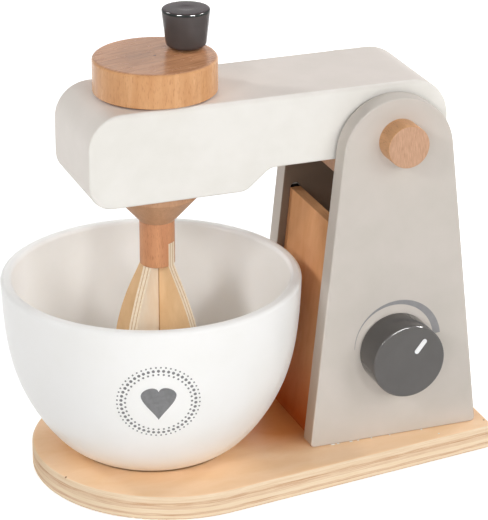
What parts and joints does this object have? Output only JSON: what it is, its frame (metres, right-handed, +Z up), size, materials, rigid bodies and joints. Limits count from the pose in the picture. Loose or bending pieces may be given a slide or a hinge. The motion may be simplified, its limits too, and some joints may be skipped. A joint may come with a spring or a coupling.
{
  "type": "toy stand mixer",
  "caption": "Wooden toy stand mixer: a tilting arm with a hand crank turns a crossed-blade beater in a loose bowl, beside a tower with a turning dial.",
  "frame": {"origin": "on the board's underside, under the middle of the whole mixer's length and width", "axes": "+X towards the rear, where the tower stands; +Y towards the side without the dial; +Z up"},
  "size_m": [0.2271, 0.1398, 0.2211],
  "materials": {
    "plywood": "sanded birch plywood, clear satin varnish",
    "white_lacquered_wood": "white satin lacquer",
    "grey_lacquered_wood": "warm light grey matt lacquer",
    "dark_lacquered_wood": "dark grey gloss lacquer",
    "beech": "turned and sanded beech, clear satin varnish",
    "steel": "zinc-plated",
    "washer_plastic": "plain moulded nylon",
    "white_paint": "printed white paint"
  },
  "bodies": {
    "stand": {"base_board": "plywood", "base_screws": "steel", "side_panel_dial": "grey_lacquered_wood", "side_panel_far": "grey_lacquered_wood", "front_panel": "plywood", "rear_panel": "plywood", "stop_bar": "beech", "stop_bar_pins": "beech", "axle": "beech", "axle_caps": "beech", "axle_washers": "washer_plastic"},
    "bowl": {"bowl": "white_lacquered_wood"},
    "head": {"arm": "white_lacquered_wood"},
    "crank": {"crank_disc": "beech", "crank_upper_washer": "washer_plastic", "crank_lower_washer": "washer_plastic", "crank_shaft": "beech", "crank_knob_washer": "washer_plastic", "beater_cone": "beech", "beater_shaft": "beech", "beater_blade_tongued": "plywood", "beater_blade_plain": "plywood"},
    "crank_grip": {"crank_knob": "dark_lacquered_wood", "crank_knob_screw": "steel"},
    "dial": {"dial_knob": "dark_lacquered_wood", "dial_index": "white_paint", "dial_shaft": "beech", "dial_collar": "beech"}
  },
  "joints": [
    {"name": "head_tilt", "type": "hinge", "parent": "stand", "child": "head", "pos_m": [0.064, 0, 0.1617], "axis": [0, 1, 0], "range_deg": [0, 65]},
    {"name": "crank_spin", "type": "hinge", "parent": "head", "child": "crank", "pos_m": [-0.0404, 0, 0.1864], "axis": [0, 0, 1], "continuous": true},
    {"name": "crank_grip_spin", "type": "hinge", "parent": "crank", "child": "crank_grip", "pos_m": [-0.02321, 0.00629, 0.203], "axis": [0, 0, 1], "continuous": true},
    {"name": "dial_turn", "type": "hinge", "parent": "stand", "child": "dial", "pos_m": [0.064, -0.0384, 0.0576], "axis": [0, 1, 0], "continuous": true},
    {"name": "bowl_turn", "type": "hinge", "parent": "stand", "child": "bowl", "pos_m": [-0.0436, 0, 0.01], "axis": [0, 0, 1], "continuous": true}
  ]
}
